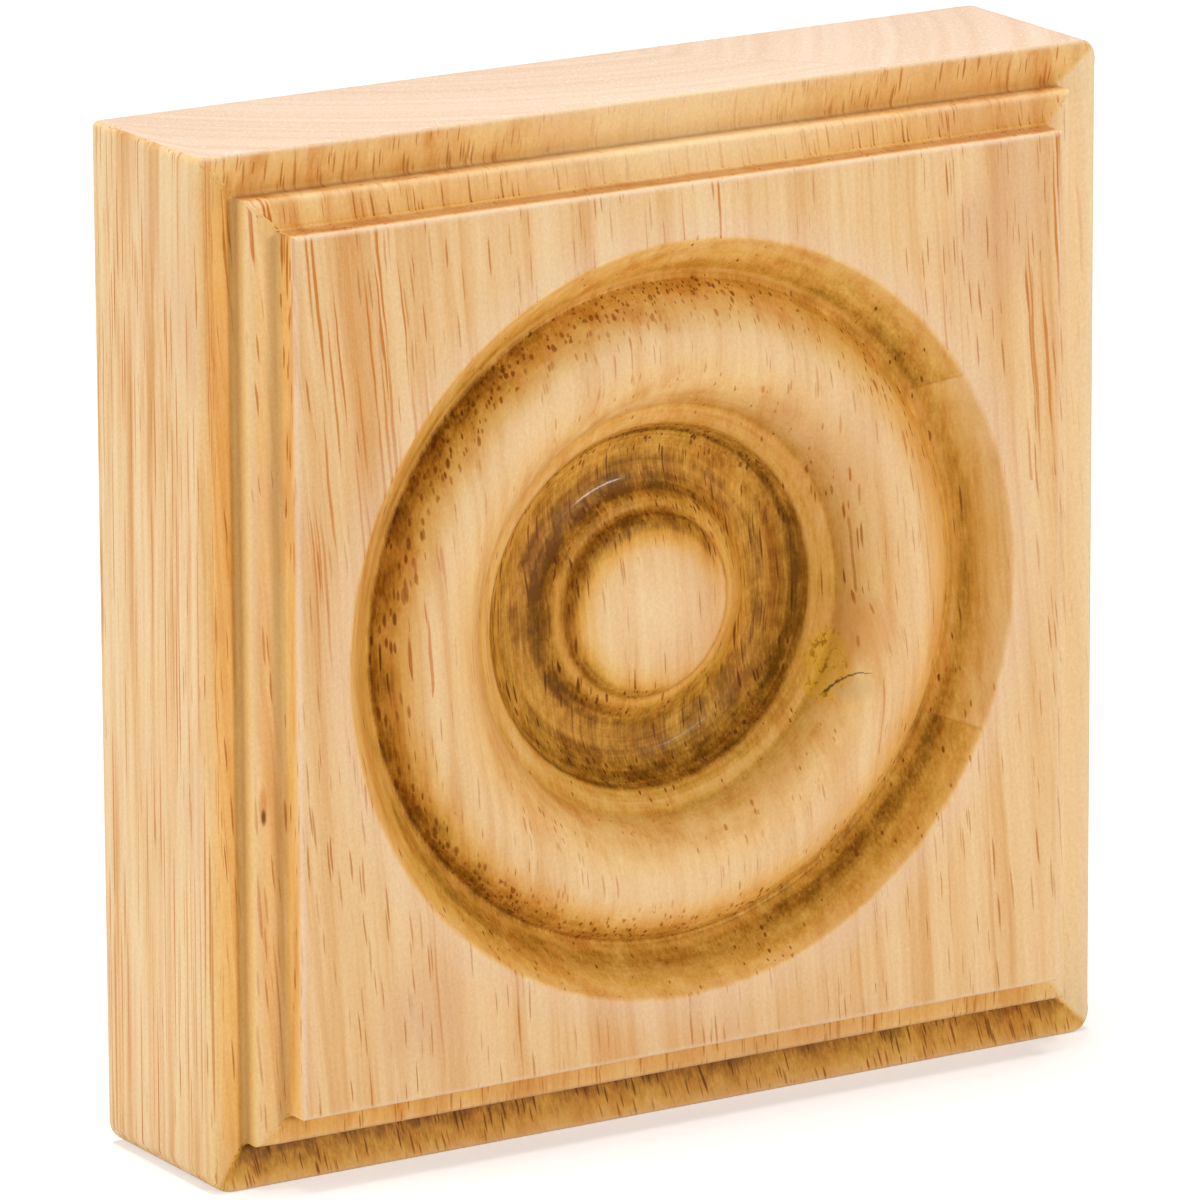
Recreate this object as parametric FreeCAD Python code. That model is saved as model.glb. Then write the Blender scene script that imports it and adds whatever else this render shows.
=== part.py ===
"""Corner rosette block, 3-1/2 in square and 7/8 in thick, machined from one piece of wood.

A two-step moulding runs round the front with mitred corners, and a bull's-eye rosette is turned
into the raised panel. The back is at Y = 0 with its centre at the origin, the panel faces -Y and
the grain stands along Z. Depths in the rosette and the moulding are measured back from the panel.
"""
import FreeCAD, Part
import math
import os

from FreeCAD import Vector

# Blank: three of its corners are sanded round, and the top left one, seen from the front, is left crisp
side = 88.9
thickness = 22.2
corner_radius = 2.0
crisp_corner_radius = 0.6
back_ease = 0.4

# Outer band of the moulding, next to the edge of the block
outer_band_width = 3.85
outer_band_depth = 4.15
outer_riser_depth = 5.45
side_edge_ease = 1.3
end_edge_ease = 0.4
outer_riser_cove = 0.5

# Inner band of the moulding, at the foot of the panel
inner_band_width = 2.75
inner_band_depth = 2.95
inner_band_ease = 0.6
panel_riser_depth = 2.65
panel_riser_cove = 0.6
panel_edge_ease = 0.35

# Button in the middle of the rosette
button_radius = 7.2
button_depth = 5.5
button_rim_depth = 5.95
button_shoulder_width = 1.1
button_ring_depth = 7.0
button_ring_width = 0.9
button_ring_fall = 0.3

# Bowl round the button, and the narrow land at its lip
bowl_width = 6.8
bowl_depth = 8.5
bowl_lip_depth = 5.85
bowl_low_share = 0.57
land_width = 1.9
land_depth = 4.65

# Big round ring, the quirk outside it and the bevel up to the panel
torus_width = 10.8
torus_depth = 1.1
quirk_width = 0.5
quirk_depth = 4.3
bevel_width = 3.8

# Space in front of the panel that the turning tool sweeps
tool_clearance = 2.0


def rounded_corner(before, corner, after, radius):
    """Ends and middle of the arc that rounds one corner of an outline."""
    back = (before - corner).normalize()
    ahead = (after - corner).normalize()
    half_angle = back.getAngle(ahead) / 2
    bisector = (back + ahead).normalize()
    reach = radius / math.tan(half_angle)
    middle = corner + bisector * (radius / math.sin(half_angle) - radius)
    return corner + back * reach, middle, corner + ahead * reach


def rounded_face(corners):
    """Face inside a closed outline of (point, radius) corners, each rounded by its radius."""
    edges = []
    runs = []
    for index, (corner, radius) in enumerate(corners):
        before = corners[index - 1][0]
        after = corners[(index + 1) % len(corners)][0]
        if radius > 0:
            start, middle, end = rounded_corner(before, corner, after, radius)
            edges.append(Part.Arc(start, middle, end).toShape())
        else:
            start = corner
            end = corner
        runs.append((start, end))
    for index, (start, end) in enumerate(runs):
        edges.append(Part.LineSegment(runs[index - 1][1], start).toShape())
    return Part.Face(Part.Wire(Part.__sortEdges__(edges)))


def moulded_section(edge_ease):
    """Section across the block, from the back to the moulded front, in the X-Y plane."""
    edge = side / 2
    outer_riser = edge - outer_band_width
    panel_riser = outer_riser - inner_band_width
    half_outline = [
        (edge, 0, back_ease),
        (edge, outer_band_depth - thickness, edge_ease),
        (outer_riser, outer_riser_depth - thickness, outer_riser_cove),
        (outer_riser, inner_band_depth - thickness, inner_band_ease),
        (panel_riser, panel_riser_depth - thickness, panel_riser_cove),
        (panel_riser, -thickness, panel_edge_ease),
    ]
    right = [(Vector(x, y, 0), radius) for x, y, radius in half_outline]
    left = [(Vector(-x, y, 0), radius) for x, y, radius in reversed(half_outline)]
    return rounded_face(right + left)


def moulded_blank():
    """Block with its moulded border: the two mouldings cross, so they meet in mitres at the corners."""
    half = side / 2
    upright = moulded_section(side_edge_ease).extrude(Vector(0, 0, side))
    upright.translate(Vector(0, 0, -half))
    level = moulded_section(end_edge_ease).extrude(Vector(0, 0, side))
    level.translate(Vector(0, 0, -half))
    level.rotate(Vector(0, 0, 0), Vector(0, 1, 0), 90)
    square = [
        (Vector(-half, 0, -half), corner_radius),
        (Vector(half, 0, -half), corner_radius),
        (Vector(half, 0, half), corner_radius),
        (Vector(-half, 0, half), crisp_corner_radius),
    ]
    outline = rounded_face(square).extrude(Vector(0, -thickness, 0))
    return upright.common(level).common(outline)


def turned_waste():
    """Wood that the turning tool takes out of the panel, revolved about the middle of the block."""
    shoulder_radius = button_radius + button_shoulder_width
    ring_radius = shoulder_radius + button_ring_width
    lip_radius = ring_radius + bowl_width
    land_radius = lip_radius + land_width
    torus_radius = land_radius + torus_width
    quirk_radius = torus_radius + quirk_width
    rosette_radius = quirk_radius + bevel_width
    ring_edge_depth = button_ring_depth + button_ring_fall

    def at(radius, depth):
        return Vector(radius, depth - thickness, 0)

    def line(start, end):
        return Part.LineSegment(start, end).toShape()

    def arc(start, middle, end):
        return Part.Arc(start, middle, end).toShape()

    centre = at(0, button_depth)
    rim = at(button_radius, button_rim_depth)
    shoulder = at(shoulder_radius, button_ring_depth)
    ring_edge = at(ring_radius, ring_edge_depth)
    lip = at(lip_radius, bowl_lip_depth)
    land = at(land_radius, land_depth)
    torus_foot = at(torus_radius, quirk_depth)
    quirk = at(quirk_radius, quirk_depth)
    rosette_edge = at(rosette_radius, 0)
    dome_rise = button_rim_depth - button_depth
    dome_radius = (button_radius**2 + dome_rise**2) / (2 * dome_rise)
    dome_fall = dome_radius - math.sqrt(dome_radius**2 - (button_radius / 2) ** 2)
    bowl_low = at(ring_radius + bowl_width * (1 - bowl_low_share), bowl_depth)
    torus_crest = at(land_radius + torus_width / 2, torus_depth)
    front_edge = at(rosette_radius, -tool_clearance)
    front_centre = at(0, -tool_clearance)

    edges = [
        arc(centre, at(button_radius / 2, button_depth + dome_fall), rim),
        line(rim, shoulder),
        line(shoulder, ring_edge),
        arc(ring_edge, bowl_low, lip),
        line(lip, land),
        arc(land, torus_crest, torus_foot),
        line(torus_foot, quirk),
        line(quirk, rosette_edge),
        line(rosette_edge, front_edge),
        line(front_edge, front_centre),
        line(front_centre, centre),
    ]
    profile = Part.Face(Part.Wire(edges))
    return profile.revolve(Vector(0, 0, 0), Vector(0, 1, 0), 360)


rosette_block = moulded_blank().cut(turned_waste()).Solids[0]

os.makedirs("parts", exist_ok=True)
rosette_block.exportStep("parts/rosette_block.step")
state = "valid" if rosette_block.isValid() else "not valid"
print("rosette_block:", state, round(rosette_block.Volume), "mm3")
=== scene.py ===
"""Corner rosette block of lacquered pale hardwood, standing on a white studio floor."""
import math

import bmesh
import bpy
from mathutils import Matrix, Vector


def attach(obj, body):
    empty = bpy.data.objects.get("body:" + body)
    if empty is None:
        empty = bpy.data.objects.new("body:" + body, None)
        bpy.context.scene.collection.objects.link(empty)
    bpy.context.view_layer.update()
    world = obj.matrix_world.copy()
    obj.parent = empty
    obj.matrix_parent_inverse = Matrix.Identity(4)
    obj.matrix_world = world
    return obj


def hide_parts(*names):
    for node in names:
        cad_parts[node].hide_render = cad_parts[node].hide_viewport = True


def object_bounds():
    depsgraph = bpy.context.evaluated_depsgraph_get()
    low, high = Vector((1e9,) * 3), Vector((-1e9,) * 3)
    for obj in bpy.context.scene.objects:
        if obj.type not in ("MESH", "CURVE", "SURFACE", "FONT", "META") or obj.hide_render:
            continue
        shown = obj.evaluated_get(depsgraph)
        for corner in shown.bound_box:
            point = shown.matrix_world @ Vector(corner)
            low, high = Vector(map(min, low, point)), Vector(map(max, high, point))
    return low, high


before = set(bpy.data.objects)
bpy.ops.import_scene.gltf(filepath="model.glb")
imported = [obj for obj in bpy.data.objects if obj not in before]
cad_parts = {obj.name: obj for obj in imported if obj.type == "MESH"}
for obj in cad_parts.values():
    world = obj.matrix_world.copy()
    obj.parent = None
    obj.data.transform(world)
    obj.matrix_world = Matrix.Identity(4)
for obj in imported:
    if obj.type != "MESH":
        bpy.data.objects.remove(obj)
cad_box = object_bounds()
scene = bpy.context.scene
scene.view_settings.view_transform = "Standard"

# The block: one square of pale hardwood, moulded round its front in two steps and bored with a
# turned rosette. The mesh is turned as a round body first, and then its border is pulled out square,
# so that the moulding meets in mitres at the corners. Sizes are in millimetres.
MM = 0.001
HALF_SIDE = cad_box[1].x / MM
PANEL_Y = cad_box[0].y / MM
THICKNESS = (cad_box[1].y - cad_box[0].y) / MM
CORNER_RADIUS = 2.0
CRISP_CORNER_RADIUS = 0.6

PANEL_EDGE = 37.85
PANEL_EASE = 0.3
PANEL_FOOT_DEPTH = 2.65
PANEL_FOOT_COVE = 0.6
INNER_BAND_EDGE = 40.6
INNER_BAND_DEPTH = 2.95
RIDGE_EASE = 1.0
RIDGE_EASE_ENDS = 0.5
RIDGE_EASE_RIGHT = 0.35
OUTER_VALLEY_DEPTH = 5.45
OUTER_VALLEY_COVE = 0.5
OUTER_BAND_DEPTH = 4.15
SIDE_EASE = 1.3
END_EASE = 0.4
BACK_EASE = 0.4

BUTTON_DEPTH = 5.5
BUTTON_FALL = 0.11
BUTTON_DOME_RADIUS = 6.6
BUTTON_DOME_DEPTH = 5.87
BUTTON_RADIUS = 7.2
BUTTON_CORNER_RADIUS = 7.75
BUTTON_CORNER_DEPTH = 6.01
BUTTON_EASE = 0.75
RING_INNER_RADIUS = 8.25
RING_INNER_DEPTH = 7.0
RING_INNER_EASE = 0.25
RING_OUTER_RADIUS = 9.2
RING_OUTER_DEPTH = 7.3
RING_OUTER_EASE = 0.3
BOWL_LOW_RADIUS = 12.13
BOWL_DEPTH = 8.5
LIP_RADIUS = 16.0
LIP_DEPTH = 5.85
LIP_EASE = 0.4
LAND_RADIUS = 17.9
LAND_DEPTH = 4.65
LAND_EASE = 0.25
TORUS_CREST_RADIUS = 23.3
TORUS_CREST_DEPTH = 1.1
QUIRK_RADIUS = 28.95
QUIRK_DEPTH = 4.35
QUIRK_FILLET = 0.45
ROSETTE_RADIUS = 33.0
ROSETTE_EASE = 0.25

COARSE_TURN = math.radians(43.5)
COARSE_STEPS = 40
FINE_TURN = math.radians(3.0)
FINE_STEPS = 12
FLAT_MARGIN = 0.45
OUTER_EASE_ZONE = 1.5
NEAR = 0.1
MERGE_REACH = 0.001


def arc(start, middle, end, steps):
    """Points after the start on the arc through three (radius, depth) points."""
    start, middle, end = Vector(start), Vector(middle), Vector(end)
    to_middle = middle - start
    to_end = end - start
    twice_area = 2 * (to_middle.x * to_end.y - to_middle.y * to_end.x)
    lean = to_end.y * to_middle.length_squared - to_middle.y * to_end.length_squared
    rise = to_middle.x * to_end.length_squared - to_end.x * to_middle.length_squared
    centre = start + Vector((lean, rise)) / twice_area
    first = start - centre
    turn = first.angle_signed(middle - centre) + (middle - centre).angle_signed(end - centre)
    points = []
    for step in range(1, steps + 1):
        swing = Matrix.Rotation(-turn * step / steps, 2)
        points.append(tuple(centre + swing @ first))
    return points


block = bmesh.new()
outline = []


def run(points):
    """Carry the turned outline on through (radius, depth) points, one edge each."""
    for radius, depth in points:
        vert = block.verts.new((radius, PANEL_Y + depth, 0))
        if outline:
            block.edges.new((outline[-1], vert))
        outline.append(vert)


def corner(radius, depth, reach, segments):
    """Carry the outline to a corner that is rounded over a reach along both of its sides."""
    run([(radius, depth)])
    rounded_corners.append((outline[-1], reach, segments))


rounded_corners = []
button_start = (0, BUTTON_DEPTH)
run([button_start])
button_middle = (BUTTON_RADIUS / 2, BUTTON_DEPTH + BUTTON_FALL)
run(arc(button_start, button_middle, (BUTTON_DOME_RADIUS, BUTTON_DOME_DEPTH), 6))
corner(BUTTON_CORNER_RADIUS, BUTTON_CORNER_DEPTH, BUTTON_EASE, 6)
corner(RING_INNER_RADIUS, RING_INNER_DEPTH, RING_INNER_EASE, 4)
corner(RING_OUTER_RADIUS, RING_OUTER_DEPTH, RING_OUTER_EASE, 4)
bowl = arc((RING_OUTER_RADIUS, RING_OUTER_DEPTH), (BOWL_LOW_RADIUS, BOWL_DEPTH), (LIP_RADIUS, LIP_DEPTH), 16)
run(bowl[:-1])
corner(LIP_RADIUS, LIP_DEPTH, LIP_EASE, 5)
corner(LAND_RADIUS, LAND_DEPTH, LAND_EASE, 4)
torus = arc(
    (LAND_RADIUS, LAND_DEPTH), (TORUS_CREST_RADIUS, TORUS_CREST_DEPTH), (QUIRK_RADIUS, QUIRK_DEPTH), 24
)
run(torus[:-1])
corner(QUIRK_RADIUS, QUIRK_DEPTH, QUIRK_FILLET, 7)
corner(ROSETTE_RADIUS, 0, ROSETTE_EASE, 4)
run([(ROSETTE_RADIUS + FLAT_MARGIN, 0), (PANEL_EDGE - FLAT_MARGIN, 0)])
corner(PANEL_EDGE, 0, PANEL_EASE, 4)
corner(PANEL_EDGE, PANEL_FOOT_DEPTH, PANEL_FOOT_COVE, 5)
corner(INNER_BAND_EDGE, INNER_BAND_DEPTH, RIDGE_EASE, 7)
corner(INNER_BAND_EDGE, OUTER_VALLEY_DEPTH, OUTER_VALLEY_COVE, 5)
corner(HALF_SIDE, OUTER_BAND_DEPTH, SIDE_EASE, 8)
run([(HALF_SIDE, THICKNESS / 2)])
corner(HALF_SIDE, THICKNESS, BACK_EASE, 4)
run([(HALF_SIDE - CORNER_RADIUS - FLAT_MARGIN, THICKNESS), (0, THICKNESS)])
for vert, reach, segments in rounded_corners:
    bmesh.ops.bevel(
        block, geom=[vert], offset=reach, offset_type="OFFSET", segments=segments,
        profile=0.5, affect="VERTICES", material=-1,
    )

last = block.verts[:] + block.edges[:]
for quarter in range(4):
    for angle, steps in ((COARSE_TURN, COARSE_STEPS), (FINE_TURN, FINE_STEPS), (COARSE_TURN, COARSE_STEPS)):
        turned = bmesh.ops.spin(
            block, geom=last, cent=(0, 0, 0), axis=(0, 1, 0), dvec=(0, 0, 0),
            angle=angle, steps=steps, use_merge=False, use_duplicate=False,
        )
        last = turned["geom_last"]
bmesh.ops.remove_doubles(block, verts=block.verts, dist=MERGE_REACH)


def squared(point):
    """Where a point of the round border lies once the border is square, with its outer corners rounded."""
    size = math.hypot(point.x, point.z)
    depth = point.y - PANEL_Y
    across = abs(point.x) / size
    along = abs(point.z) / size
    endwards = (math.atan2(along, across) - math.radians(45)) / FINE_TURN + 0.5
    endwards = min(max(endwards, 0), 1)
    if size > INNER_BAND_EDGE + OUTER_EASE_ZONE and depth < THICKNESS / 3:
        ease = 1 + (END_EASE / SIDE_EASE - 1) * endwards
        size = HALF_SIDE - (HALF_SIDE - size) * ease
        depth = OUTER_BAND_DEPTH + (depth - OUTER_BAND_DEPTH) * ease
    elif max(abs(size - INNER_BAND_EDGE), abs(depth - INNER_BAND_DEPTH)) < RIDGE_EASE + NEAR:
        side_ease = RIDGE_EASE_RIGHT if point.x > 0 else RIDGE_EASE
        ease = (side_ease + (RIDGE_EASE_ENDS - side_ease) * endwards) / RIDGE_EASE
        size = INNER_BAND_EDGE + (size - INNER_BAND_EDGE) * ease
        depth = INNER_BAND_DEPTH + (depth - INNER_BAND_DEPTH) * ease
    reach = size / max(across, along)
    top_left = point.x < 0 and point.z > 0
    inner = HALF_SIDE - (CRISP_CORNER_RADIUS if top_left else CORNER_RADIUS)
    if min(across, along) * reach > inner:
        diagonal = inner * (across + along)
        reach = diagonal + math.sqrt(diagonal**2 - 2 * inner**2 + (size - inner) ** 2)
    scale = reach / math.hypot(point.x, point.z)
    return Vector((point.x * scale, PANEL_Y + depth, point.z * scale))


for vert in block.verts:
    size = math.hypot(vert.co.x, vert.co.z)
    if size > PANEL_EDGE - 2 * FLAT_MARGIN:
        vert.co = squared(vert.co)
bmesh.ops.recalc_face_normals(block, faces=block.faces)
for face in block.faces:
    face.smooth = True
for edge in block.edges:
    ends = [vert.co for vert in edge.verts]
    on_diagonal = all(abs(abs(end.x) - abs(end.z)) < MERGE_REACH for end in ends)
    on_border = all(PANEL_EDGE - 0.5 < abs(end.x) < HALF_SIDE - CORNER_RADIUS + NEAR for end in ends)
    if on_diagonal and on_border:
        edge.smooth = False
bmesh.ops.scale(block, vec=(MM, MM, MM), verts=block.verts)
block_mesh = bpy.data.meshes.new("turned_and_moulded_block")
block.to_mesh(block_mesh)
block.free()
wooden_block = bpy.data.objects.new("turned_and_moulded_block", block_mesh)
scene.collection.objects.link(wooden_block)
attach(wooden_block, "root")
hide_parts("rosette_block")

# The wood: pale open-pored hardwood, glued up of two staves, sanded, and finished with clear lacquer that
# has pooled in the hollows; the darkening there is partly that lacquer and partly painted shade. Its figure
# runs through the solid, so it goes on round every edge.
wood = bpy.data.materials.new("lacquered_wood")
wood.use_nodes = True
tree = wood.node_tree
shader = tree.nodes["Principled BSDF"]


def fill(socket, value):
    """Link a socket to another node's output, or give it a plain value."""
    if isinstance(value, bpy.types.NodeSocket):
        tree.links.new(value, socket)
    else:
        socket.default_value = value


def calc(operation, *values):
    """Math node on numbers."""
    node = tree.nodes.new("ShaderNodeMath")
    node.operation = operation
    for socket, value in zip(node.inputs, values):
        fill(socket, value)
    return node.outputs[0]


def total(first, *others):
    """Sum of numbers."""
    for other in others:
        first = calc("ADD", first, other)
    return first


def product(first, *others):
    """Product of numbers."""
    for other in others:
        first = calc("MULTIPLY", first, other)
    return first


def largest(first, *others):
    """Largest of numbers."""
    for other in others:
        first = calc("MAXIMUM", first, other)
    return first


def vector(*values):
    """Vector from three numbers."""
    node = tree.nodes.new("ShaderNodeCombineXYZ")
    for socket, value in zip(node.inputs, values):
        fill(socket, value)
    return node.outputs[0]


def climb(value, low, high):
    """Smooth climb from 0 at low to 1 at high; low may be the larger."""
    node = tree.nodes.new("ShaderNodeMapRange")
    node.interpolation_type = "SMOOTHSTEP"
    fill(node.inputs["Value"], value)
    fill(node.inputs["From Min"], low)
    fill(node.inputs["From Max"], high)
    return node.outputs["Result"]


def hump(value, middle, width):
    """Soft mask that is 1 where the value is at the middle and 0 past the width."""
    return climb(calc("ABSOLUTE", calc("SUBTRACT", value, middle)), width, 0.0)


def scaled(where, rates, shift=(0, 0, 0)):
    """Place with each of its three numbers multiplied by a rate and then shifted."""
    node = tree.nodes.new("ShaderNodeVectorMath")
    node.operation = "MULTIPLY_ADD"
    for socket, value in zip(node.inputs, (where, rates, shift)):
        fill(socket, value)
    return node.outputs["Vector"]


def patch(middle_x, middle_z, width, height):
    """Soft oval mask on the front of the block."""
    off = scaled(here, (1 / width, 0, 1 / height), (-middle_x / width, 0, -middle_z / height))
    node = tree.nodes.new("ShaderNodeVectorMath")
    node.operation = "DOT_PRODUCT"
    fill(node.inputs[0], off)
    fill(node.inputs[1], off)
    return climb(node.outputs["Value"], 1.0, 0.0)


def noise(where, rates, detail=2.0, roughness=0.5, shift=0.0):
    """Smooth noise about 0.5; each rate is how fast it changes along one of the three numbers of a place."""
    node = tree.nodes.new("ShaderNodeTexNoise")
    fill(node.inputs["Vector"], scaled(where, rates, (0, 0, shift)))
    fill(node.inputs["Scale"], 1.0)
    fill(node.inputs["Detail"], detail)
    fill(node.inputs["Roughness"], roughness)
    return node.outputs["Fac"]


def mixed(factor, first, second, blend="MIX"):
    """Colour mix of two colours."""
    node = tree.nodes.new("ShaderNodeMix")
    node.data_type = "RGBA"
    node.blend_type = blend
    fill(node.inputs[0], factor)
    fill(node.inputs[6], first)
    fill(node.inputs[7], second)
    return node.outputs[2]


def srgb(red, green, blue):
    """Linear colour from 8-bit display values."""
    def linear(level):
        level = level / 255
        return level / 12.92 if level <= 0.04045 else ((level + 0.055) / 1.055) ** 2.4
    return (linear(red), linear(green), linear(blue), 1)


def ramp(value, stops, length):
    """Ramp along a value from 0 to length, with (value, level or colour) stops."""
    node = tree.nodes.new("ShaderNodeValToRGB")
    fill(node.inputs["Fac"], calc("DIVIDE", value, length))
    elements = node.color_ramp.elements
    while len(elements) < len(stops):
        elements.new(0.5)
    for element, (position, level) in zip(elements, stops):
        element.position = position / length
        element.color = level if isinstance(level, tuple) else (level, level, level, 1)
    return node.outputs["Color"]


# Places on the block in millimetres: depth behind the panel, distance from the rosette's middle (far off
# at the back), distance from the middle towards the nearest edge, and which of the four sides that edge is.
MOULDING_FADE_START = 6.0
MOULDING_FADE_END = 8.0
ROSETTE_FADE_START = 9.0
ROSETTE_FADE_END = 10.0
FAR_OFF = 100.0
coordinates = tree.nodes.new("ShaderNodeTexCoord")
place = tree.nodes.new("ShaderNodeVectorMath")
place.operation = "SCALE"
tree.links.new(coordinates.outputs["Object"], place.inputs[0])
place.inputs["Scale"].default_value = 1 / MM
axes = tree.nodes.new("ShaderNodeSeparateXYZ")
tree.links.new(place.outputs[0], axes.inputs[0])
x, y, z = axes.outputs
here = place.outputs[0]
depth = calc("SUBTRACT", y, PANEL_Y)
radius = calc("SQRT", total(product(x, x), product(z, z)))
radius = total(radius, product(climb(depth, ROSETTE_FADE_START, ROSETTE_FADE_END), FAR_OFF))
moulded = climb(depth, MOULDING_FADE_END, MOULDING_FADE_START)
out_x = calc("ABSOLUTE", x)
out_z = calc("ABSOLUTE", z)
edgeward = largest(out_x, out_z)
MITRE_BLUR = 0.5
at_right = climb(calc("SUBTRACT", x, out_z), -MITRE_BLUR, MITRE_BLUR)
at_left = climb(calc("SUBTRACT", product(x, -1.0), out_z), -MITRE_BLUR, MITRE_BLUR)
at_top = climb(calc("SUBTRACT", z, out_x), -MITRE_BLUR, MITRE_BLUR)
at_bottom = climb(calc("SUBTRACT", product(z, -1.0), out_x), -MITRE_BLUR, MITRE_BLUR)
facing = tree.nodes.new("ShaderNodeNewGeometry")
normal = tree.nodes.new("ShaderNodeSeparateXYZ")
tree.links.new(facing.outputs["Normal"], normal.inputs[0])
normal_x, normal_y, normal_z = normal.outputs

# The block is glued up of two staves; the glue line runs down the right of the panel and leans back.
GLUE_X = 29.0
GLUE_LEAN = 0.0665
GLUE_SLANT = 0.857
GLUE_WIDTH = 0.12
past_glue = total(x, product(z, GLUE_LEAN), product(depth, GLUE_SLANT), -GLUE_X)
right_stave = calc("GREATER_THAN", past_glue, 0.0)
glue_line = hump(past_glue, 0.0, GLUE_WIDTH)

# The grain stands upright with a slight lean, wanders on its way up, and swells round a small knot.
GRAIN_LEAN = 0.085
GRAIN_DIP = 0.015
WANDER = 2.0
WANDER_IN = 0.8
WIGGLE = 0.5
WANDER_RATES = (0.035, 0.035, 0.022)
KNOT_X = 17.0
KNOT_Z = -7.6
KNOT_SWELL = -0.4
LEFT_EDGE_START = -42.5
LEFT_EDGE_END = -44.0
RIGHT_STAVE_ACROSS = 37.0
RIGHT_STAVE_INWARD = 19.0
wander_x = noise(here, WANDER_RATES)
wander_y = noise(here, WANDER_RATES, shift=9.0)
wiggle = noise(here, (0.5, 0.5, 0.16))
swell = product(calc("SUBTRACT", x, KNOT_X), patch(KNOT_X, KNOT_Z, 6.5, 8.0), KNOT_SWELL)
left_edge = climb(x, LEFT_EDGE_START, LEFT_EDGE_END)
upright = total(1.0, product(left_edge, -0.8))
sideways = product(total(product(z, GRAIN_LEAN), product(wiggle, WIGGLE)), upright)
across = total(x, product(wander_x, WANDER), sideways, swell, product(right_stave, RIGHT_STAVE_ACROSS))
inward = total(y, product(z, GRAIN_DIP), product(wander_y, WANDER_IN))
inward = total(inward, product(right_stave, RIGHT_STAVE_INWARD))
grain = vector(across, inward, z)

# Growth layers lie nearly flat behind the panel, as arcs about a far heart, and tint the wood in soft bands.
HEART_ACROSS = 14.0
HEART_INWARD = 46.0
aside = calc("SUBTRACT", across, HEART_ACROSS)
behind = calc("SUBTRACT", inward, HEART_INWARD)
layer = calc("SQRT", total(product(aside, aside), product(behind, behind)))
CROWD_LEFT = -36.5
CROWD_RIGHT = -21.0
LAYER_SHARE = 0.5
STREAK_SHARE = 0.4
STRAND_SHARE = 0.3
FIBRE_SHARE = 0.15
TONE_SHIFT = -0.175
LEFT_EDGE_STRAND_SHARE = 0.4
LEFT_EDGE_TONE = -0.03
UPPER_LEFT_TONE = 0.07
layer_tone = noise(vector(layer, z, 0), (0.6, 0.006, 0))
streak_tone = noise(grain, (0.5, 0.35, 0.012), 1.0)
strand_tone = noise(grain, (1.5, 1.0, 0.025))
fibre_tone = noise(grain, (5.0, 3.0, 0.16), 3.0, 0.6)
on_panel = climb(depth, 3.0, 0.5)
upper_left = product(climb(z, -16.0, 10.0), on_panel)
upper_left = product(upper_left, climb(across, CROWD_LEFT, CROWD_LEFT + 2.0))
upper_left = product(upper_left, climb(across, CROWD_RIGHT, CROWD_RIGHT - 4.0))
left_strands = product(left_edge, calc("SUBTRACT", strand_tone, 0.5))
tone = total(product(layer_tone, LAYER_SHARE), product(streak_tone, STREAK_SHARE), TONE_SHIFT)
tone = total(tone, product(strand_tone, STRAND_SHARE), product(fibre_tone, FIBRE_SHARE))
tone = total(tone, product(left_strands, LEFT_EDGE_STRAND_SHARE), product(left_edge, LEFT_EDGE_TONE))
tone = total(tone, product(upper_left, UPPER_LEFT_TONE))
CREAM = srgb(246, 214, 164)
HONEY = srgb(240, 198, 143)
TAN = srgb(224, 166, 100)
figure = ramp(tone, ((0.34, CREAM), (0.5, HONEY), (0.68, TAN)), 1.0)
ROSE = srgb(226, 178, 136)
blush = noise(here, (0.06, 0.06, 0.04), shift=5.0)
figure = mixed(product(climb(blush, 0.5, 0.75), 0.6), figure, ROSE)

# Vessels: open pores along the grain, seen as dashes on the long faces and as dots where they are cut
# across. They crowd together in places, most of all at the upper left of the panel, on the left, in the
# hollows and at the right of the big ring, and are few on the bevel and on the inner slope of that ring.
crowd_tone = noise(grain, (0.17, 0.2, 0.02))
upper_right = product(climb(x, 30.5, 34.0), climb(z, -2.0, 16.0), on_panel)
left_bands = climb(x, -37.6, -38.6)
end_bands = product(climb(edgeward, PANEL_EDGE, PANEL_EDGE + 0.3), climb(depth, 7.0, 6.0))
end_bands = product(end_bands, largest(at_top, at_bottom))
sloping = climb(calc("ABSOLUTE", normal_y), 0.97, 0.8)
flank = product(sloping, climb(radius, TORUS_CREST_RADIUS + 1.5, TORUS_CREST_RADIUS + 3.0))
flank = product(flank, climb(radius, QUIRK_RADIUS + 0.1, QUIRK_RADIUS - 0.2))
bowl_wall = product(sloping, climb(radius, LIP_RADIUS, LIP_RADIUS - 0.5))
bevel = product(climb(radius, QUIRK_RADIUS - 0.2, QUIRK_RADIUS + 0.2), climb(depth, 0.05, 0.4))
bevel = product(bevel, climb(radius, ROSETTE_RADIUS + 0.1, ROSETTE_RADIUS - 0.2))
inner_slope = product(sloping, climb(radius, LIP_RADIUS - 0.5, LIP_RADIUS))
inner_slope = product(inner_slope, climb(radius, TORUS_CREST_RADIUS, TORUS_CREST_RADIUS - 1.0))
vessel_inward = total(inward, product(end_bands, depth, -0.7), product(left_edge, depth, 0.9))
vessel_place = vector(across, vessel_inward, z)


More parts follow.
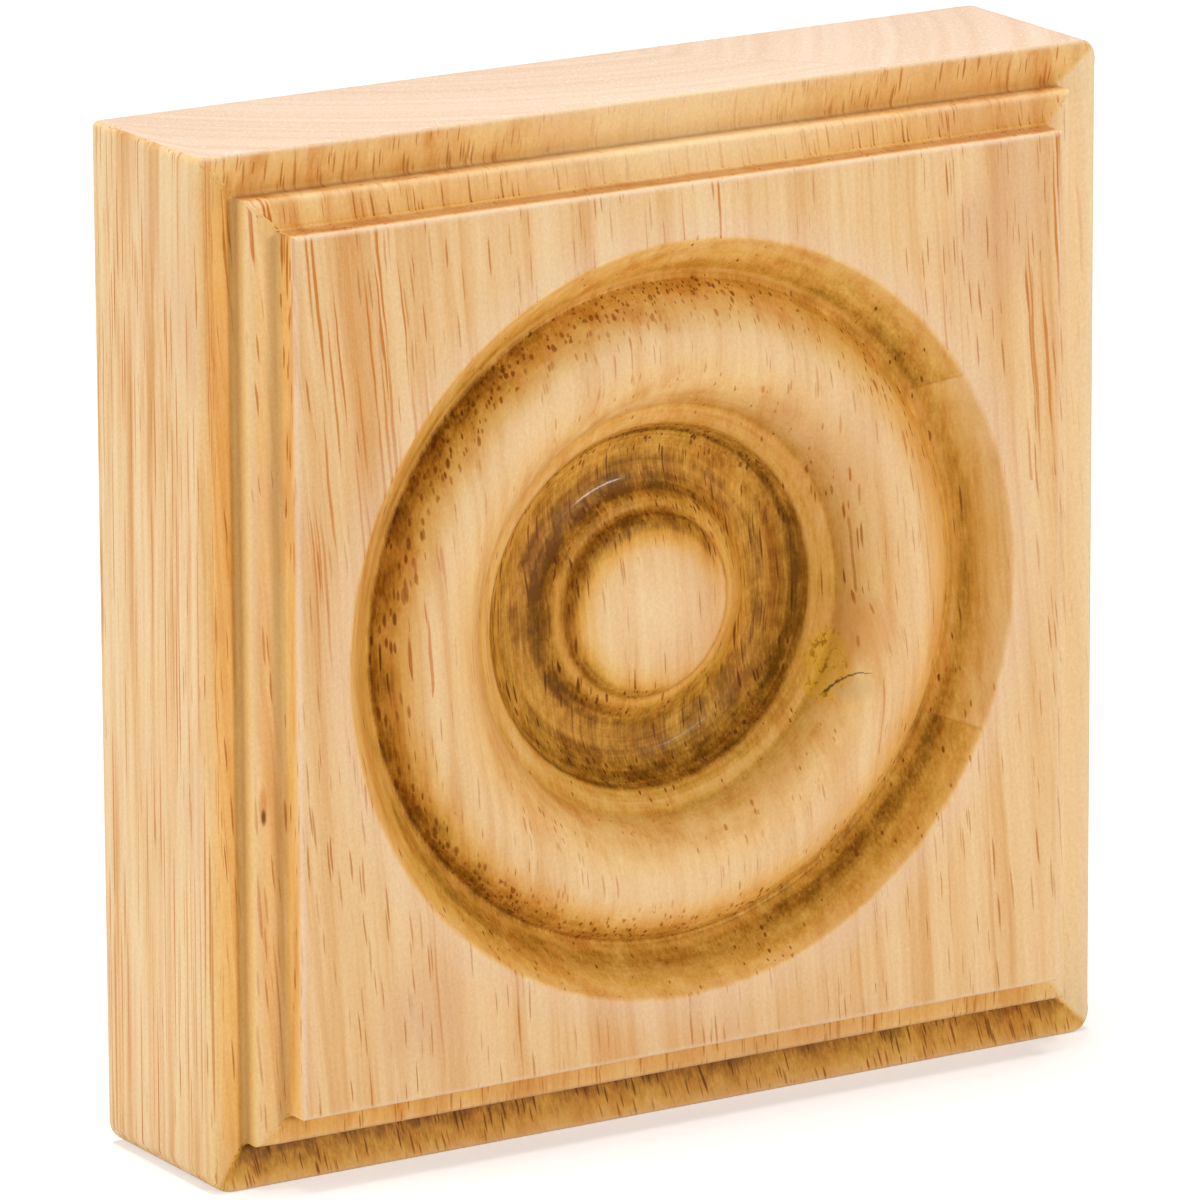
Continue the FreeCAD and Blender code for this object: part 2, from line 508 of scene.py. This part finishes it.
def vessels(pitch, spread, length, reach, share):
    """Mask and chance darkness of pores; only a share of the cells, each about a pitch wide, holds one."""
    cells = tree.nodes.new("ShaderNodeTexVoronoi")
    fill(cells.inputs["Vector"], scaled(vessel_place, (1 / pitch, 1 / spread, 1 / length)))
    cells.inputs["Scale"].default_value = 1.0
    chance = tree.nodes.new("ShaderNodeSeparateColor")
    tree.links.new(cells.outputs["Color"], chance.inputs[0])
    present = calc("LESS_THAN", chance.outputs[0], share)
    size = calc("MULTIPLY_ADD", chance.outputs[1], reach * 0.5, reach * 0.5)
    mask = product(climb(cells.outputs["Distance"], size, product(size, 0.55)), present)
    return product(mask, calc("MULTIPLY_ADD", chance.outputs[2], 0.5, 0.5))


long_share = total(0.06, product(upper_left, 0.9), product(left_bands, 0.3), product(upper_right, 0.4))
long_share = total(long_share, product(bowl_wall, 0.25), product(left_edge, 0.35))
short_share = total(0.07, product(climb(crowd_tone, 0.38, 0.62), 0.35), product(end_bands, 0.35))
smooth_cut = total(product(left_edge, -0.8), product(bevel, -0.85), product(inner_slope, -0.8))
short_share = product(short_share, total(1.0, smooth_cut))
long_share = product(long_share, total(1.0, product(bevel, -0.8), product(inner_slope, -0.6)))
ring_right = product(patch(20.5, 8.0, 7.0, 15.0), moulded, climb(radius, LIP_RADIUS, LIP_RADIUS + 1.0))
long_share = total(long_share, product(ring_right, 0.4))
short_share = total(short_share, product(ring_right, 0.25))
pit_share = product(flank, climb(x, 16.0, -6.0), 0.5)
long_pores = vessels(pitch=0.42, spread=0.5, length=40.0, reach=0.54, share=long_share)
short_pores = vessels(pitch=0.29, spread=0.4, length=5.0, reach=0.5, share=short_share)
pits = vessels(pitch=0.5, spread=0.5, length=1.8, reach=0.58, share=pit_share)
PORE_AMBER = srgb(208, 122, 34)
PORE_BROWN = srgb(198, 120, 48)
figure = mixed(product(long_pores, 0.95), figure, PORE_AMBER)
figure = mixed(product(largest(short_pores, pits), 0.85), figure, PORE_BROWN)
pores = largest(long_pores, short_pores, product(pits, 0.75))

# Paler wood round the rosette's rim, where it was sanded last, on the crest and the button, and along the
# arrises of the moulding, where the paling is partly wear and partly painted highlight. The left riser and
# the right of the border are lightened as painted light on the sides the lamps reach; the middle of the top
# border is paler too.
PALE_PINK = srgb(242, 214, 186)
beyond_rim = calc("SUBTRACT", radius, ROSETTE_RADIUS)
rim_pale = product(climb(beyond_rim, 0.0, 0.3), climb(beyond_rim, 4.0, 0.3), 0.3)
# The arrises: pale lines, partly wear and partly painted highlight where the edges catch the light.
panel_arris = product(hump(edgeward, PANEL_EDGE - 0.1, 0.45), climb(depth, 0.7, 0.1), 0.6)
ridge_arris = product(hump(edgeward, INNER_BAND_EDGE - 0.1, 0.6), 0.3)
ridge_arris = product(ridge_arris, hump(depth, INNER_BAND_DEPTH + 0.1, 0.7))
end_arris = product(hump(out_z, HALF_SIDE - 0.1, 0.4), hump(depth, OUTER_BAND_DEPTH + 0.1, 0.6), 0.7)
figure = mixed(total(rim_pale, panel_arris, ridge_arris, end_arris), figure, PALE_PINK)
PALE_CREAM = srgb(250, 220, 174)
crest_pale = product(hump(radius, TORUS_CREST_RADIUS, 4.5), 0.25)
figure = mixed(total(crest_pale, product(climb(radius, BUTTON_RADIUS, 0.0), 0.7)), figure, PALE_CREAM)
PALE_YELLOW = srgb(250, 224, 180)
RISER_GOLD = srgb(255, 224, 162)
# Painted light: the left riser lightened to gold, as if lit from the left.
left_riser = product(hump(edgeward, INNER_BAND_EDGE, 0.5), at_left, moulded)
left_riser = product(left_riser, climb(depth, INNER_BAND_DEPTH, INNER_BAND_DEPTH + 0.6))
figure = mixed(product(left_riser, 0.9), figure, RISER_GOLD)
top_middle = product(at_top, hump(x, 2.0, 26.0), climb(edgeward, PANEL_EDGE + 0.1, PANEL_EDGE + 0.4))
figure = mixed(product(top_middle, moulded, 0.7), figure, PALE_YELLOW)
# Painted light: the right border paler, as the side the light reaches, and partly the right stave's own
# paler wood.
right_border = product(at_right, climb(edgeward, PANEL_EDGE, HALF_SIDE - 2.0), climb(depth, 6.5, 4.5))
figure = mixed(product(right_border, 0.7), figure, PALE_YELLOW)

# The ends are cut across the grain, pinkish and pale, with faint layers and pale specks.
END_PINK = srgb(249, 222, 196)
END_TAN = srgb(238, 200, 168)
END_SPECK = srgb(255, 242, 228)
end_face = climb(calc("ABSOLUTE", normal_z), 0.9, 0.98)
end_face = product(end_face, climb(edgeward, HALF_SIDE - 0.5, HALF_SIDE - 0.1))
end_layers = total(product(layer_tone, 0.5), product(fibre_tone, 0.5))
end_tone = ramp(end_layers, ((0.36, END_TAN), (0.58, END_PINK)), 1.0)
figure = mixed(end_face, figure, mixed(product(short_pores, 0.7), end_tone, END_SPECK))

# Lacquer lies thick in the hollows and soaks into the cut fibres there, which turns the wood golden brown;
# painted shade darkens the same hollows and the corners of the border too. The painted shade is deeper on
# slopes that face left or up and along the bottom of the border, and lighter at the right of the button and
# of the big ring, where the light falls. The turning left fine rings in the lacquer.
hollows = ramp(
    radius,
    (
        (0.0, 0.0), (BUTTON_RADIUS - 2.0, 0.03), (BUTTON_RADIUS - 0.8, 0.22),
        (RING_INNER_RADIUS - 0.35, 0.85), (RING_INNER_RADIUS + 0.45, 0.55),
        (RING_OUTER_RADIUS - 0.1, 0.7), (RING_OUTER_RADIUS + 0.9, 1.0), (BOWL_LOW_RADIUS, 0.84),
        (LIP_RADIUS - 1.8, 0.84), (LIP_RADIUS - 0.5, 0.92), (LIP_RADIUS + 0.2, 0.5),
        (LAND_RADIUS - 0.8, 0.42), (LAND_RADIUS, 0.46), (LAND_RADIUS + 0.7, 0.31),
        (LAND_RADIUS + 1.7, 0.21), (LAND_RADIUS + 3.1, 0.12),
        (TORUS_CREST_RADIUS, 0.0), (TORUS_CREST_RADIUS + 1.4, 0.02), (TORUS_CREST_RADIUS + 2.6, 0.17),
        (QUIRK_RADIUS - 1.8, 0.45), (QUIRK_RADIUS - 0.75, 0.68), (QUIRK_RADIUS - 0.2, 0.76),
        (QUIRK_RADIUS + 0.1, 0.7), (QUIRK_RADIUS + 0.35, 0.5), (QUIRK_RADIUS + 0.65, 0.54),
        (QUIRK_RADIUS + 1.0, 0.74), (QUIRK_RADIUS + 1.6, 0.64), (QUIRK_RADIUS + 3.0, 0.42),
        (ROSETTE_RADIUS - 0.25, 0.32), (ROSETTE_RADIUS + 0.1, 0.0),
    ),
    HALF_SIDE,
)
# Painted shade by the way a slope faces: deeper on slopes that face left or up.
outward = calc("DIVIDE", total(product(normal_x, x), product(normal_z, z)), largest(radius, NEAR))
outward = climb(outward, -0.1, 0.1)
facing_shade_x = product(normal_x, calc("MULTIPLY_ADD", outward, -0.05, -0.2))
facing_shade_z = product(normal_z, calc("MULTIPLY_ADD", outward, -0.2, 0.22))
stave_share = total(1.0, product(right_stave, climb(radius, QUIRK_RADIUS, ROSETTE_RADIUS), -0.5))
# Painted shade that changes round the ring: more on the big ring's left corners, and in the bowl by the side
# it faces, across its floor and at its left.
diagonal = calc("DIVIDE", product(x, out_z, -1.0), largest(product(radius, radius), NEAR))
left_corners = product(climb(diagonal, 0.3, 0.5), climb(radius, TORUS_CREST_RADIUS, QUIRK_RADIUS), 0.19)
around_x = calc("DIVIDE", x, largest(radius, NEAR))
around_z = calc("DIVIDE", z, largest(radius, NEAR))
bowl_facing_shade = total(0.06, product(around_z, 0.12), product(around_x, -0.06), product(around_x, around_x, -0.16))
bowl_facing_shade = product(bowl_facing_shade, climb(radius, BOWL_LOW_RADIUS, BOWL_LOW_RADIUS - 1.2))
# Painted light: less darkening at the lower right of the button's rim and on the right and top of the big
# ring's outer flank.
lower_right = climb(total(product(around_x, 0.9), product(around_z, -0.44)), 0.3, 0.95)
lit_button_rim = product(lower_right, climb(radius, RING_INNER_RADIUS, RING_INNER_RADIUS - 0.8), -0.6)
bowl_floor = product(hump(radius, BOWL_LOW_RADIUS, 1.8), around_x, around_z, -0.24)
bowl_left = product(hump(radius, LIP_RADIUS - 1.8, 1.5), climb(around_x, -0.5, -0.9), -0.12)
lit_flank = product(climb(around_x, 0.85, 1.0), -0.2)
lit_flank = total(lit_flank, product(climb(around_z, 0.75, 1.0), -0.22))
lit_flank = product(lit_flank, hump(radius, QUIRK_RADIUS - 1.8, 2.4))
# Darker on the right of the bevel, on the left stave.
left_stave = calc("SUBTRACT", 1.0, right_stave)
bevel_right = product(bevel, climb(x, 6.0, 18.0), left_stave, 0.14)
turning = noise(vector(radius, around_x, around_z), (1.5, 0.4, 0.4), 3.0, 0.6)
turning_depth = total(0.8, product(hump(radius, LAND_RADIUS - 0.5, 3.5), 1.4))
turning = product(calc("SUBTRACT", turning, 0.5), turning_depth)
# The painted shade and light terms above and the turning rings in the lacquer together scale the darkening
# of the hollows.
uneven_coat_and_shade = total(facing_shade_x, facing_shade_z, left_corners, bowl_facing_shade, lit_button_rim, bowl_floor, bowl_left)
uneven_coat_and_shade = total(uneven_coat_and_shade, lit_flank, bevel_right, turning)
hollows = product(hollows, total(1.0, uneven_coat_and_shade), stave_share)
# The top of the button's rim darker: partly painted shade, partly dark streaks.
button_top = product(climb(radius, 4.4, 6.9), climb(radius, 7.8, 7.0), climb(z, -2.0, 6.0), 0.35)
# Darkening of the border: painted shade in its corners, at the panel's foot and the outer valley, with
# lacquer in it too.
border = ramp(
    edgeward,
    (
        (PANEL_EDGE + 0.1, 0.0), (PANEL_EDGE + 0.25, 0.35), (PANEL_EDGE + 0.5, 0.18),
        (PANEL_EDGE + 1.0, 0.14), (INNER_BAND_EDGE - 0.7, 0.1), (INNER_BAND_EDGE - 0.1, 0.05),
        (INNER_BAND_EDGE + 0.3, 0.24), (INNER_BAND_EDGE + 0.7, 0.2),
        (HALF_SIDE - 1.2, 0.12), (HALF_SIDE - 0.2, 0.05), (HALF_SIDE, 0.0),
    ),
    HALF_SIDE,
)
# Painted shadow of the raised panel on the border: most along the bottom and towards its left, also on the
# left side and at the foot of the left panel riser, less at the middle of the top, hardly any at the right.
panel_riser = product(hump(edgeward, PANEL_EDGE, 0.25), climb(depth, 0.2, 1.2), moulded)
outer_band = climb(edgeward, INNER_BAND_EDGE - 0.1, INNER_BAND_EDGE + 0.3)
bottom_share = total(1.1, product(outer_band, 2.6))
top_share = calc("MULTIPLY_ADD", hump(x, 2.0, 24.0), -0.9, 0.5)
bottom_share = total(bottom_share, product(climb(x, -8.0, -32.0), 0.7))
side_share = total(1.0, product(at_right, -0.9), product(at_left, outer_band, 0.6))
side_share = total(side_share, product(at_bottom, bottom_share), product(at_top, top_share))
border = total(product(border, side_share, moulded), product(panel_riser, at_left, 0.3))
mottle = noise(here, (0.45, 0.45, 0.3), 5.0, 0.75)
unevenness = total(product(mottle, 1.4), product(fibre_tone, 0.6))
# Lacquer in the wood and painted shade together, turned by the ramp into a golden-brown darkening.
soaked_and_shaded = product(total(hollows, border, button_top), unevenness)
LACQUER_AND_SHADE = (
    (0.0, (1.0, 1.0, 1.0, 1)), (0.15, (0.98, 0.91, 0.71, 1)), (0.3, (0.95, 0.82, 0.51, 1)),
    (0.5, (0.87, 0.69, 0.29, 1)), (0.7, (0.72, 0.53, 0.15, 1)), (0.85, (0.55, 0.375, 0.08, 1)),
    (1.0, (0.39, 0.24, 0.04, 1)), (1.2, (0.22, 0.125, 0.015, 1)),
)
colour = mixed(1.0, figure, ramp(soaked_and_shaded, LACQUER_AND_SHADE, 1.2), "MULTIPLY")
# Painted shade at the panel's top riser.
RISER_BROWN = srgb(206, 178, 142)
colour = mixed(product(panel_riser, at_top), colour, RISER_BROWN, "MULTIPLY")
PIT_BROWN = srgb(96, 58, 18)
colour = mixed(product(pores, climb(soaked_and_shaded, 0.1, 0.65), 0.8), colour, PIT_BROWN)
colour = mixed(product(glue_line, 0.25), colour, PORE_BROWN)
grit_tone = noise(here, (4.0, 4.0, 3.0), 3.0, 0.7)
colour = mixed(1.0, colour, ramp(grit_tone, ((0.3, 0.88), (0.7, 1.0)), 1.0), "MULTIPLY")

# The knot: a yellow eye on the inner slope of the big ring, with a curved crack under it and a dull patch
# below. A small dark fleck lies on the left of the border.
KNOT_YELLOW = srgb(228, 174, 46)
KNOT_OLIVE = srgb(168, 112, 30)
KNOT_DULL = srgb(214, 178, 122)
KNOT_TAN = srgb(218, 148, 78)
CRACK = srgb(86, 62, 30)
on_rosette = climb(depth, 8.0, 7.0)
colour = mixed(product(patch(18.9, -3.9, 3.2, 4.0), on_rosette, 0.5), colour, KNOT_TAN)
colour = mixed(product(patch(17.9, -9.1, 2.3, 1.2), on_rosette, 0.5), colour, KNOT_DULL)
eye = largest(patch(16.4, -7.1, 2.1, 2.6), patch(16.9, -5.5, 1.6, 1.9), patch(15.7, -9.1, 1.4, 1.5))
speckle = noise(here, (1.3, 1.3, 1.0), 4.0, 0.75)
eye = product(eye, climb(speckle, 0.28, 0.58), on_rosette)
colour = mixed(product(eye, 0.8), colour, KNOT_YELLOW)
colour = mixed(product(eye, climb(speckle, 0.52, 0.64)), colour, KNOT_OLIVE)
CRACK_BEND_X = 19.0
CRACK_BEND_Z = -7.7
CRACK_CURVE = -0.186
CRACK_TAPER = -0.03
CRACK_WIDTH = 0.07
from_bend = calc("SUBTRACT", x, CRACK_BEND_X)
crack_z = calc("MULTIPLY_ADD", product(from_bend, from_bend), CRACK_CURVE, CRACK_BEND_Z)
crack_width = calc("MULTIPLY_ADD", from_bend, CRACK_TAPER, CRACK_WIDTH)
off_crack = calc("ABSOLUTE", calc("SUBTRACT", total(z, product(fibre_tone, 0.5), -0.25), crack_z))
along_crack = product(climb(x, 15.6, 16.1), climb(x, 19.9, 19.0), on_rosette)
crack = product(climb(off_crack, crack_width, product(crack_width, 0.3)), along_crack)
colour = mixed(product(crack, 0.85), colour, CRACK)
FLECK = srgb(112, 62, 22)
FLECK_X = -39.8
on_inner_band = climb(depth, 5.0, 4.0)
colour = mixed(product(patch(FLECK_X, -10.9, 0.45, 2.2), on_inner_band, 0.6), colour, PORE_AMBER)
colour = mixed(product(patch(FLECK_X, -11.8, 0.26, 0.9), on_inner_band, 0.9), colour, FLECK)
tree.links.new(colour, shader.inputs["Base Color"])

# The satin of the lacquer: fine relief along the fibres, dull pores and ends, and a gloss where it pooled.
RELIEF = 0.06 * MM
SATIN = 0.4
PORE_DULLNESS = 0.2
END_DULLNESS = 0.35
POOL_GLOSS = 0.13
bump = tree.nodes.new("ShaderNodeBump")
bump.inputs["Strength"].default_value = 0.3
bump.inputs["Distance"].default_value = RELIEF
relief_place = vector(total(x, product(z, GRAIN_LEAN)), y, z)
relief = noise(relief_place, (5.0, 3.0, 0.16), 3.0, 0.6)
tree.links.new(product(relief, 0.3), bump.inputs["Height"])
tree.links.new(bump.outputs["Normal"], shader.inputs["Normal"])
dullness = total(SATIN, product(pores, PORE_DULLNESS), product(end_face, END_DULLNESS))
tree.links.new(dullness, shader.inputs["Roughness"])
shader.inputs["Specular IOR Level"].default_value = 0.15
shader.inputs["Specular Tint"].default_value = (1.0, 0.85, 0.62, 1)
pooled = largest(hump(radius, BOWL_LOW_RADIUS - 0.6, 2.6), hump(radius, RING_INNER_RADIUS, 0.8))
pooled = largest(pooled, hump(radius, QUIRK_RADIUS, 0.5))
tree.links.new(product(pooled, POOL_GLOSS), shader.inputs["Coat Weight"])
shader.inputs["Coat Roughness"].default_value = 0.1
block_mesh.materials.append(wood)

# The floor: plain white card, wide enough to be the background from every side. It is lifted to white for
# the camera, and still takes the block's shadow.
FLOOR_REACH = 6.0
FLOOR_LIFT = 0.45
floor_mesh = bpy.data.meshes.new("floor")
floor_shape = bmesh.new()
bmesh.ops.create_grid(floor_shape, x_segments=1, y_segments=1, size=FLOOR_REACH)
bmesh.ops.translate(floor_shape, vec=(0, 0, cad_box[0].z), verts=floor_shape.verts)
floor_shape.to_mesh(floor_mesh)
floor_shape.free()
floor = bpy.data.objects.new("floor", floor_mesh)
scene.collection.objects.link(floor)
floor_material = bpy.data.materials.new("white_card")
floor_material.use_nodes = True
floor_shader = floor_material.node_tree.nodes["Principled BSDF"]
floor_shader.inputs["Base Color"].default_value = (0.8, 0.8, 0.8, 1)
floor_shader.inputs["Roughness"].default_value = 0.9
floor_shader.inputs["Emission Color"].default_value = (1, 1, 1, 1)
floor_mesh.materials.append(floor_material)
lift = floor_material.node_tree.nodes.new("ShaderNodeMath")
lift.operation = "MULTIPLY"
lift.inputs[1].default_value = FLOOR_LIFT
floor_path = floor_material.node_tree.nodes.new("ShaderNodeLightPath")
floor_material.node_tree.links.new(floor_path.outputs["Is Camera Ray"], lift.inputs[0])
floor_material.node_tree.links.new(lift.outputs[0], floor_shader.inputs["Emission Strength"])

# Soft studio light: a faint even surround, one soft box overhead, one at the far left that rakes the
# side of the block, a large one in front that fills the rosette, and beside it a narrow, slightly warm
# strip that draws the glints in the bowl.
SURROUND = 0.12
LAMP_DISTANCE = 0.9
WARM_WHITE = (1, 0.93, 0.85)
world = bpy.data.worlds.new("studio")
scene.world = world
world.use_nodes = True
backdrop = world.node_tree.nodes["Background"]
backdrop.inputs["Color"].default_value = (1, 1, 1, 1)
surround = world.node_tree.nodes.new("ShaderNodeMapRange")
surround.inputs["To Min"].default_value = SURROUND
surround.inputs["To Max"].default_value = 1.0
world_path = world.node_tree.nodes.new("ShaderNodeLightPath")
world.node_tree.links.new(world_path.outputs["Is Camera Ray"], surround.inputs["Value"])
world.node_tree.links.new(surround.outputs["Result"], backdrop.inputs["Strength"])


def soft_box(name, azimuth, elevation, width, height, power, roll=0, tint=(1, 1, 1)):
    """Area light aimed at the middle of the block; azimuth 0 is in front, positive to the right."""
    light = bpy.data.lights.new(name, "AREA")
    light.shape = "RECTANGLE"
    light.size = width
    light.size_y = height
    light.energy = power
    light.color = tint
    lamp = bpy.data.objects.new(name, light)
    turn = math.radians(azimuth)
    rise = math.radians(elevation)
    away = Vector((math.sin(turn) * math.cos(rise), -math.cos(turn) * math.cos(rise), math.sin(rise)))
    lamp.location = away * LAMP_DISTANCE
    lamp.rotation_mode = "QUATERNION"
    level = Matrix.Rotation(math.radians(roll), 3, "Z").to_quaternion()
    lamp.rotation_quaternion = (-away).to_track_quat("-Z", "Y") @ level
    scene.collection.objects.link(lamp)


soft_box("overhead_box", azimuth=180, elevation=86, width=0.45, height=0.45, power=6.9)
soft_box("far_left_box", azimuth=-100, elevation=12, width=0.45, height=0.45, power=4.15)
soft_box("front_box", azimuth=2, elevation=12, width=0.8, height=0.8, power=2.5)
soft_box(
    "glint_strip", azimuth=20, elevation=12, width=0.2, height=0.04, power=2.4, roll=22, tint=WARM_WHITE,
)

# The camera stands to the left of the block and a little above it, with a long lens.
# It aims at a point on the plane of the raised panel.
CAMERA_TURN = math.radians(31.46)
CAMERA_DROP = math.radians(14.84)
CAMERA_ROLL = math.radians(-0.28)
CAMERA_DISTANCE = 909 * MM
CAMERA_AIM = Vector((-8.7, PANEL_Y, 3.1)) * MM
SENSOR_WIDTH = 36.0
LENS = 324.8

view_line = Vector((
    math.sin(CAMERA_TURN) * math.cos(CAMERA_DROP),
    math.cos(CAMERA_TURN) * math.cos(CAMERA_DROP),
    -math.sin(CAMERA_DROP),
))
camera_data = bpy.data.cameras.new("camera")
camera_data.sensor_width = SENSOR_WIDTH
camera_data.lens = LENS
camera = bpy.data.objects.new("camera", camera_data)
camera.location = CAMERA_AIM - view_line * CAMERA_DISTANCE
camera.rotation_mode = "QUATERNION"
roll = Matrix.Rotation(CAMERA_ROLL, 3, "Z").to_quaternion()
camera.rotation_quaternion = view_line.to_track_quat("-Z", "Y") @ roll
scene.collection.objects.link(camera)
scene.camera = camera
